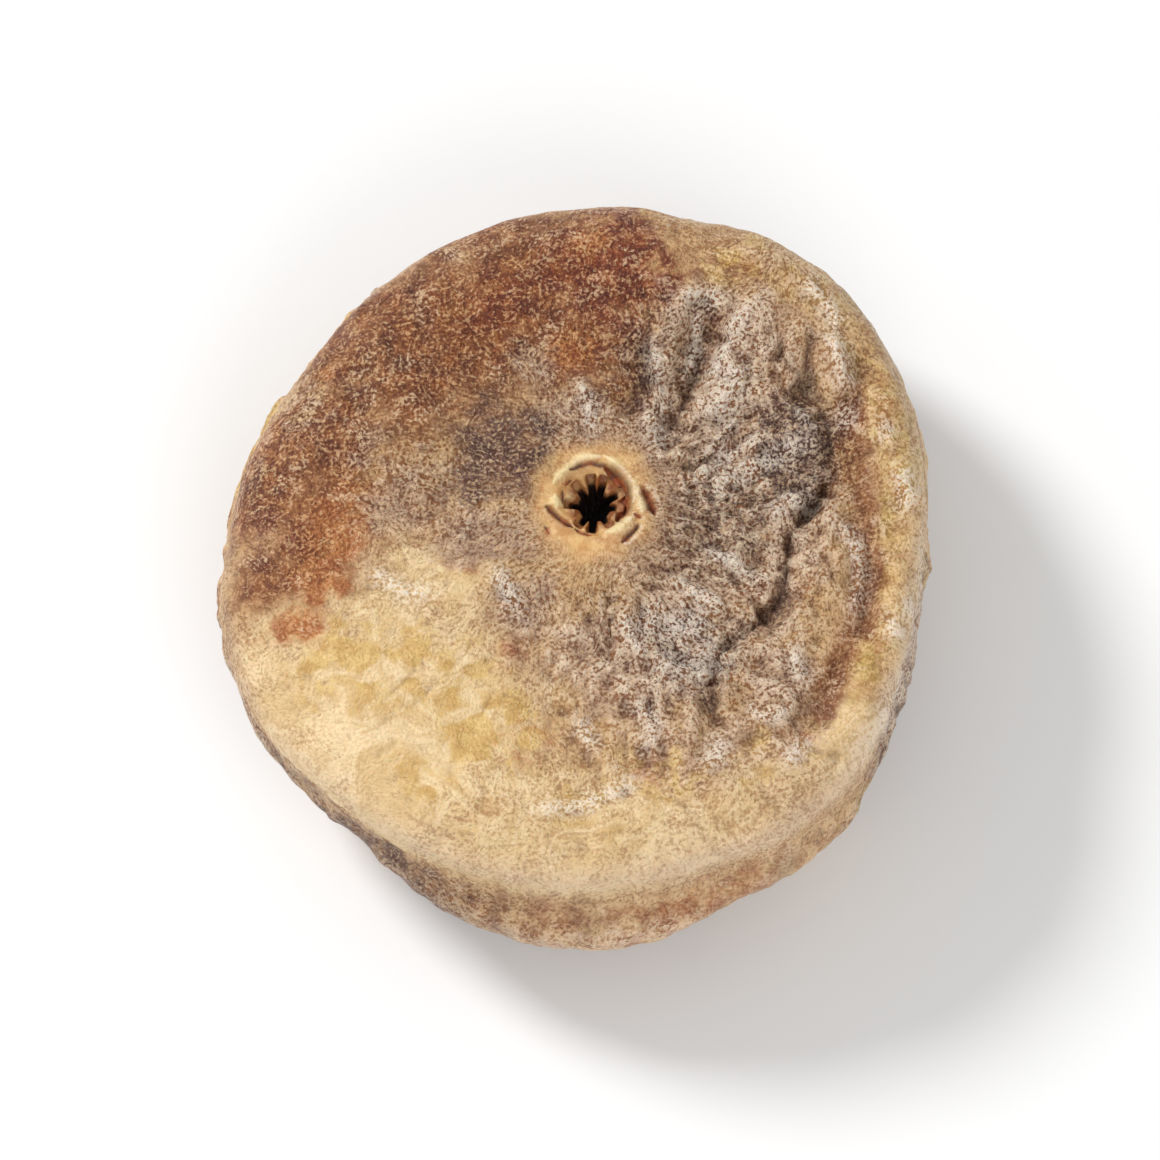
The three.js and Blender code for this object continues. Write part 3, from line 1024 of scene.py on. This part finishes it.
# How the colours that dried unevenly come and go
uneven = {
    "orange": step(mid_mottle, 0.3, 0.62, 0.6, 1.1),
    "rust": step(mid_mottle, 0.3, 0.62, 0.6, 1.1),
    "brown": step(wide_mottle, 0.34, 0.54, 0.8, 1.1),
    "straw": step(spots, 0.4, 0.6, 0.25, 1.15),
}
colour = blend(step(wide_mottle, 0.35, 0.65), paint(190, 150, 108), paint(204, 164, 112))
veins = mottle(1.7, 3, 0.6, 0.8, combed_place)
for name, (one, other) in colours.items():
    tint = blend(step(veins if name == "cream" else mid_mottle, 0.38, 0.62), one, other)
    amount = mask(name)
    if name in uneven:
        amount = work("MULTIPLY", amount, uneven[name])
    ragged_edge = step(work("ADD", amount, edge_grain), 0.2, 0.8)
    share = work("MULTIPLY", ragged_edge, step(amount, 0.0, 0.2))
    colour = blend(share, colour, tint)
amber_spots = scaled(mask("amber"), step(spots, 0.5, 0.62, 0.0, 0.6))
colour = blend(amber_spots, colour, paint(204, 176, 98))
colour = blend(scaled(mask("keel"), 0.7), colour, paint(226, 200, 168))
print("laid", len(colours), "colours over the ground")

# %% Colour of the underside, the eye and the stem
under = mask("under")
colour = blend(step(work("ADD", under, edge_grain), 0.2, 0.9), colour, paint(112, 82, 66))
boss = mask("boss")
boss_mottle = step(mottle(1.1, 2, 0.6, 0.5), 0.36, 0.64)
boss_paint = blend(boss_mottle, paint(196, 142, 82), paint(224, 182, 120))
colour = blend(scaled(boss, 0.9), colour, boss_paint)
colour = blend(scaled(mask("scale"), 0.85), colour, paint(248, 226, 170))
colour = blend(mask("stub"), colour, blend(boss_mottle, paint(172, 158, 118), paint(206, 196, 164)))
print("painted the eye and the stem")

# %% Grain, painted shade in the hollows, and sugar with painted highlights
PLAIN_GRAIN, LEAST_GRAIN = 0.62, 0.1
MORE_GRAIN = {"lilac": 0.6, "taupe": 0.4, "brown": 0.34,
              "cream": -0.3, "amber": -0.12, "boss": -0.6}
graininess = PLAIN_GRAIN
for name, amount in MORE_GRAIN.items():
    graininess = work("ADD", graininess, scaled(mask(name), amount))
graininess = work("MAXIMUM", graininess, LEAST_GRAIN)
light = work("MULTIPLY", step(grain, 0.53, 0.62), graininess)
dark_share = work("SUBTRACT", graininess, scaled(mask("cream"), 0.16))
dark = work("MULTIPLY", step(grain, 0.49, 0.38), dark_share)
colour = blend(dark, colour, paint(184, 146, 110), "MULTIPLY")
# Painted shade in the hollows, weaker in the furrow, multiplied into the colour.
shade_share = work("SUBTRACT", 0.75, scaled(mask("furrow"), 0.45))
shade = work("MULTIPLY", mask("hollow_shade"), shade_share)
colour = blend(shade, colour, paint(150, 116, 96), "MULTIPLY")
pale = blend(0.5, colour, paint(250, 208, 154))
colour = blend(scaled(light, 0.9), colour, pale)
# Pale frost, stronger on the backs of the wrinkles: partly the fig's own sugar bloom, partly a
# painted highlight on the backs.
frost_highlight = work("MULTIPLY", step(mask("back"), 0.0, 1.0, 0.1, 1.0), step(grain, 0.36, 0.58))
frost_highlight = work("MULTIPLY", frost_highlight, work("ADD", work("ADD", 0.06, scaled(under, 0.7)), mask("taupe")))
frost_highlight = work("MULTIPLY", frost_highlight, work("SUBTRACT", 1.0, scaled(mask("lilac"), 0.45)))
colour = blend(frost_highlight, colour, paint(241, 216, 188))
bloom = work("MULTIPLY", step(mottle(2.6, 2, 0.6), 0.5, 0.7), step(grain, 0.5, 0.6))
bloom = work("MULTIPLY", bloom, work("SUBTRACT", 0.42, scaled(boss, 0.42)))
colour = blend(bloom, colour, paint(244, 218, 186))
# Pale sugar along the crust ridges, partly a painted highlight on them.
sugar_highlight = work("MULTIPLY", mask("crust_highlight"), step(grain, 0.4, 0.56))
colour = blend(scaled(sugar_highlight, 0.75), colour, paint(246, 232, 216))
print("grained and sugared")

# %% Painted shade in the creases, cracks and the eye's hole, and the red brown of the eye
# Painted shade in the creases.
colour = blend(scaled(mask("crease_shade"), 0.85), colour, paint(82, 52, 38))
# Painted shade in the cracks.
colour = blend(scaled(mask("crack_shade"), 0.8), colour, paint(92, 62, 42))
throat = work("MULTIPLY", mask("throat"), step(mottle(0.6, 2, 0.6), 0.35, 0.6, 0.35, 0.95))
colour = blend(throat, colour, paint(138, 76, 36))
gap_paint = blend(step(mottle(0.7, 2), 0.42, 0.58), paint(150, 64, 24), paint(84, 34, 16))
colour = blend(scaled(mask("gap"), 0.95), colour, gap_paint)
# Painted shade: the hole of the eye is painted nearly black.
colour = blend(mask("pit_shade"), colour, paint(30, 14, 10))
plug(colour, shader.inputs["Base Color"])
print("colour takes", len(nodes), "nodes")

# %% Gloss, glow and grain of the skin
DULLEST, GLOSSIEST = 0.58, 0.34
GLOW_SHARE, GLOW_DEPTH = 0.2, 1.4
GLOW_PAINT = (1.0, 0.5, 0.22)
GRAIN_DEPTH, FINE_DEPTH, LUMP_DEPTH = 0.55, 0.08, 0.2

plug(step(grain, 0.4, 0.6, DULLEST, GLOSSIEST), shader.inputs["Roughness"])
shader.inputs["Subsurface Weight"].default_value = GLOW_SHARE
shader.inputs["Subsurface Radius"].default_value = GLOW_PAINT
shader.inputs["Subsurface Scale"].default_value = GLOW_DEPTH * MM


def emboss(height, depth, below=None):
    node = nodes.new("ShaderNodeBump")
    node.inputs["Distance"].default_value = depth * MM
    plug(height, node.inputs["Height"])
    if below is not None:
        plug(below, node.inputs["Normal"])
    return node.outputs["Normal"]


grained = emboss(work("MULTIPLY", grain, graininess), GRAIN_DEPTH)
grained = emboss(work("MULTIPLY", fine_grain, graininess), FINE_DEPTH, grained)
grained = emboss(mid_mottle, LUMP_DEPTH, grained)
plug(grained, shader.inputs["Normal"])
fig.data.materials.clear()
fig.data.materials.append(skin)
print("skin has", len(nodes), "nodes")

# %% [markdown]
# ## Light
# Plain studio light: one soft lamp from the back left rakes over the wrinkles, a wider one
# fills from the front, and a pale floor and pale surroundings lift the shadows.

# %% Make the floor and lights
LAMPS = [
    # name, place in metres, width, power in watts
    ("key", (-0.30, 0.22, 0.34), 0.14, 1.8),
    ("fill", (0.2, -0.42, 0.32), 0.5, 1.25),
]
LAMPS_AIM = Vector((0, 0, 0.01))
FLOOR_PAINT = (0.92, 0.92, 0.92, 1)
FLOOR_BELOW = 0.0001
SURROUNDINGS = 0.5


def add_lamp(name, place, size, power):
    data = bpy.data.lights.new(name, "AREA")
    data.shape = "DISK"
    data.size = size
    data.energy = power
    lamp = bpy.data.objects.new(name, data)
    lamp.location = place
    lamp.rotation_euler = (LAMPS_AIM - Vector(place)).to_track_quat("-Z", "Y").to_euler()
    bpy.context.collection.objects.link(lamp)


def add_floor():
    bm = bmesh.new()
    bmesh.ops.create_grid(bm, x_segments=1, y_segments=1, size=1.5)
    mesh = bpy.data.meshes.new("floor")
    bm.to_mesh(mesh)
    bm.free()
    floor = bpy.data.objects.new("floor", mesh)
    floor.location.z = -FLOOR_BELOW
    bpy.context.collection.objects.link(floor)
    material = bpy.data.materials.new("pale_floor")
    material.use_nodes = True
    shader = material.node_tree.nodes["Principled BSDF"]
    shader.inputs["Base Color"].default_value = FLOOR_PAINT
    shader.inputs["Roughness"].default_value = 0.8
    mesh.materials.append(material)


add_floor()
for lamp in LAMPS:
    add_lamp(*lamp)
world = bpy.data.worlds.new("studio")
bpy.context.scene.world = world
world.use_nodes = True
background = world.node_tree.nodes["Background"]
background.inputs["Color"].default_value = (1, 1, 1, 1)
background.inputs["Strength"].default_value = SURROUNDINGS
bpy.context.scene.view_settings.view_transform = "Standard"
print("lit by", len(LAMPS), "lamps")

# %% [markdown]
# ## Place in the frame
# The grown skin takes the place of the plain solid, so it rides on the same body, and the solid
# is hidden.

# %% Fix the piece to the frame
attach(fig, "root")
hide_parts("dried_fig")
